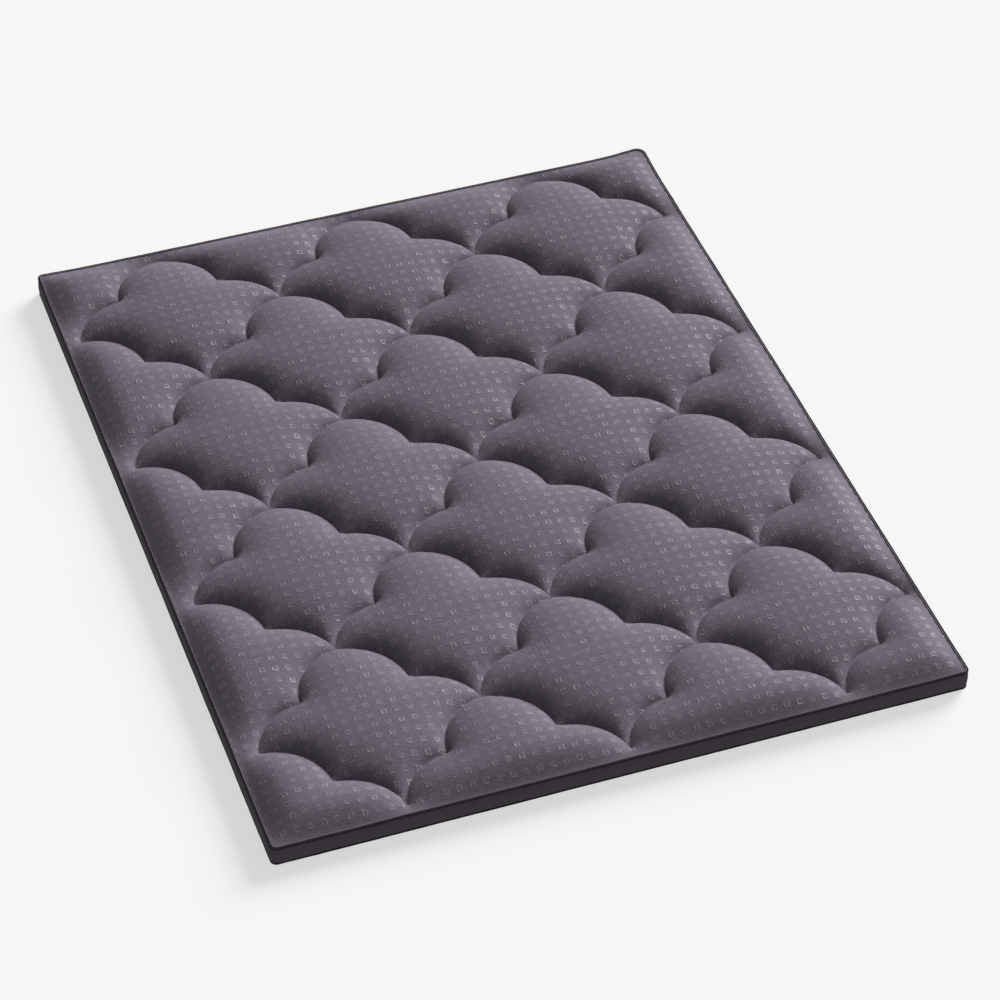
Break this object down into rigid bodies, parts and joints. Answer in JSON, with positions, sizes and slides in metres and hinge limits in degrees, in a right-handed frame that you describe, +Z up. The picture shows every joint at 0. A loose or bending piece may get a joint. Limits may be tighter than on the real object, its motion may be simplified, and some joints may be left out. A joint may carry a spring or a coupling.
{
  "type": "memory foam mattress",
  "caption": "Thin rectangular foam mattress in a sewn cover: deep scallop-quilted top, plain border, raised piping round the top edge, flat underside to lie on.",
  "frame": {"origin": "centre of the underside, on the surface the mattress lies on", "axes": "+X across the width, +Y along the length towards the head, +Z up"},
  "size_m": [1.6, 2, 0.086],
  "materials": {
    "face_cloth": "grey-mauve jacquard knit with small woven squares, soft sheen",
    "piping_cloth": "the face cloth folded round a thin cord",
    "piping_cord": "soft twisted filler cord",
    "border_cloth": "plain dark charcoal knit, matte",
    "binding_tape": "dark ribbed binding tape",
    "underside_cloth": "plain dark charcoal knit, matte",
    "lining_fleece": "thin needled fleece",
    "backing_fleece": "thin spunbonded fleece",
    "wadding": "soft polyester fibre fill",
    "memory_foam": "fine-celled viscoelastic foam",
    "support_foam": "open-celled polyurethane foam",
    "quilting_thread": "matching polyester thread",
    "dark_thread": "dark polyester thread"
  },
  "bodies": {
    "root": {"bottom_fabric": "underside_cloth", "bottom_binding": "binding_tape", "bottom_seam_thread": "dark_thread", "side_border": "border_cloth", "border_join_thread": "dark_thread", "border_lining": "lining_fleece", "base_foam": "support_foam", "memory_foam": "memory_foam", "quilt_backing": "backing_fleece", "quilt_wadding": "wadding", "top_fabric": "face_cloth", "quilting_thread": "quilting_thread", "top_seam_thread": "dark_thread", "top_binding": "binding_tape", "top_piping": "piping_cloth", "top_piping_cord": "piping_cord"}
  },
  "joints": []
}
